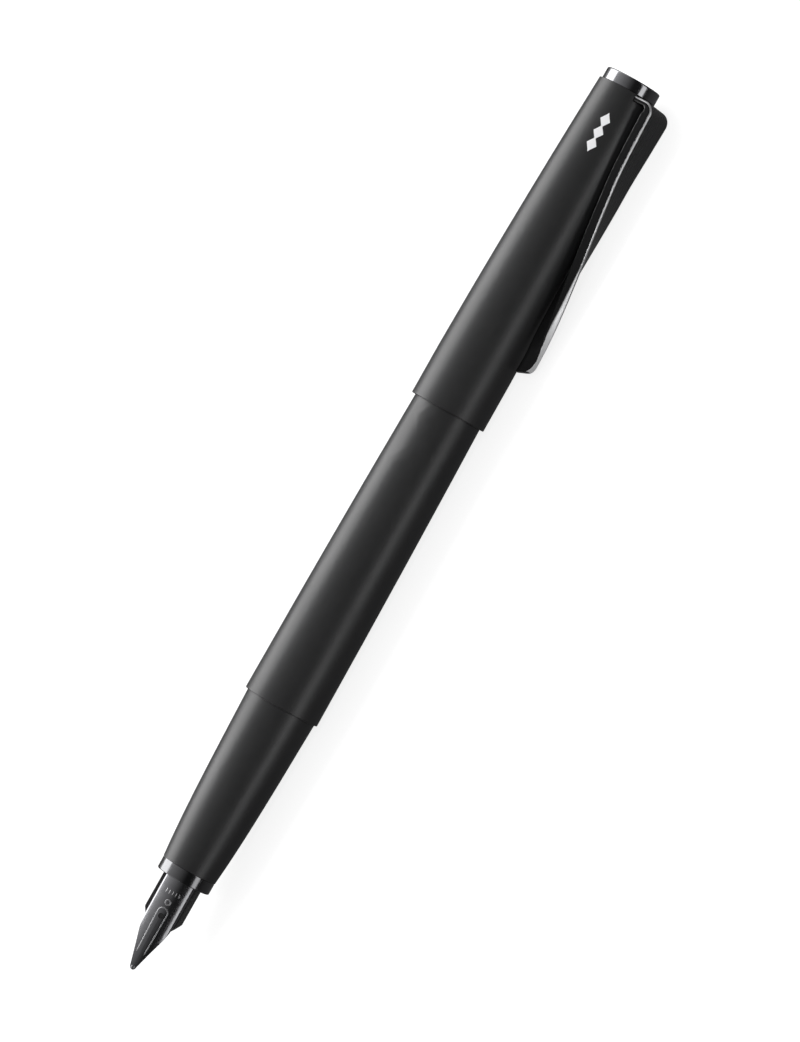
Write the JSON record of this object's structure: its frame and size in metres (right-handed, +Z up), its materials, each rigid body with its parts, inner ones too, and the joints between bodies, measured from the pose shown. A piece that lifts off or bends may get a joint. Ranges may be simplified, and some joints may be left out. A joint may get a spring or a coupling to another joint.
{
  "type": "fountain pen",
  "caption": "Slim black metal fountain pen with its cap posted on the barrel, a twisted sprung clip, a screw-off barrel, a pull-off nib and a piston ink converter inside.",
  "frame": {"origin": "middle of the bottom of the assembly's box, on the surface that the pen lies on", "axes": "+X along the pen's axis from the nib's point to the cap's end, +Z up from the surface, with the clip's edge and the cap's lip touching it"},
  "size_m": [0.157, 0.015, 0.0126],
  "materials": {
    "black_lacquer": "satin black lacquer on steel",
    "dark_chrome": "polished dark chrome",
    "bright_chrome": "polished",
    "black_steel": "black coated, semi-gloss",
    "iridium": "ground hard alloy",
    "clip_steel": "black coated steel with polished edges",
    "spring_steel": "plain spring steel",
    "brass": "turned",
    "silver_inlay": "bright satin",
    "black_plastic": "moulded",
    "feed_plastic": "moulded, semi-gloss",
    "clear_plastic": "clear moulded",
    "red_plastic": "moulded",
    "white_plastic": "moulded",
    "rubber": "matte"
  },
  "bodies": {
    "section": {"grip_sleeve": "black_lacquer", "front_ring": "dark_chrome", "section_core": "black_plastic", "ink_nipple": "black_plastic", "feed": "feed_plastic"},
    "nib": {"nib": "black_steel", "nib_tipping": "iridium"},
    "converter": {"converter_tube": "clear_plastic", "converter_guide": "black_plastic", "converter_collar": "bright_chrome"},
    "knob": {"converter_knob": "red_plastic"},
    "piston": {"piston_rod": "white_plastic", "piston_seal": "rubber"},
    "barrel_seal": {"barrel_seal_ring": "rubber"},
    "barrel": {"barrel_shell": "black_lacquer", "barrel_thread_insert": "brass", "barrel_end_plug": "dark_chrome"},
    "cap_clutch": {"cap_clutch_ring": "spring_steel"},
    "cap": {"cap_shell": "black_lacquer", "cap_head": "black_plastic", "cap_inner_liner": "black_plastic", "cap_finial": "dark_chrome", "finial_screw": "spring_steel", "cap_emblem": "silver_inlay", "clip_pin": "spring_steel", "clip_spring": "spring_steel"},
    "clip": {"clip": "clip_steel"}
  },
  "joints": [
    {"name": "nib_pull", "type": "slide", "parent": "section", "child": "nib", "axis": [-1, 0, 0], "range_m": [0, 0.022]},
    {"name": "converter_pull", "type": "slide", "parent": "section", "child": "converter", "axis": [1, 0, 0], "range_m": [0, 0.007]},
    {"name": "knob_turn", "type": "hinge", "parent": "converter", "child": "knob", "pos_m": [0.0215, 0.00121, 0.0063], "axis": [1, 0, 0], "range_deg": [0, 1620]},
    {"name": "piston_travel", "type": "slide", "parent": "converter", "child": "piston", "axis": [-1, 0, 0], "range_m": [0, 0.018]},
    {"name": "barrel_withdraw", "type": "slide", "parent": "section", "child": "barrel_seal", "axis": [1, 0, 0], "range_m": [0, 0.085]},
    {"name": "barrel_turn", "type": "hinge", "parent": "barrel_seal", "child": "barrel", "pos_m": [-0.0185, 0.00121, 0.0063], "axis": [1, 0, 0], "continuous": true},
    {"name": "cap_pull", "type": "slide", "parent": "barrel", "child": "cap_clutch", "axis": [1, 0, 0], "range_m": [0, 0.032]},
    {"name": "cap_turn", "type": "hinge", "parent": "cap_clutch", "child": "cap", "pos_m": [0.0315, 0.00121, 0.0063], "axis": [1, 0, 0], "continuous": true},
    {"name": "clip_lift", "type": "hinge", "parent": "cap", "child": "clip", "pos_m": [0.0754, -0.00074, 0.00528], "axis": [0, -0.4625, 0.8866], "range_deg": [0, 4], "stiffness_Nm_per_rad": 0.05, "springref_deg": -17.19}
  ],
  "couplings": [
    {"joint": "knob_turn", "follows": "piston_travel", "rad_per_m": 1570.8}
  ]
}
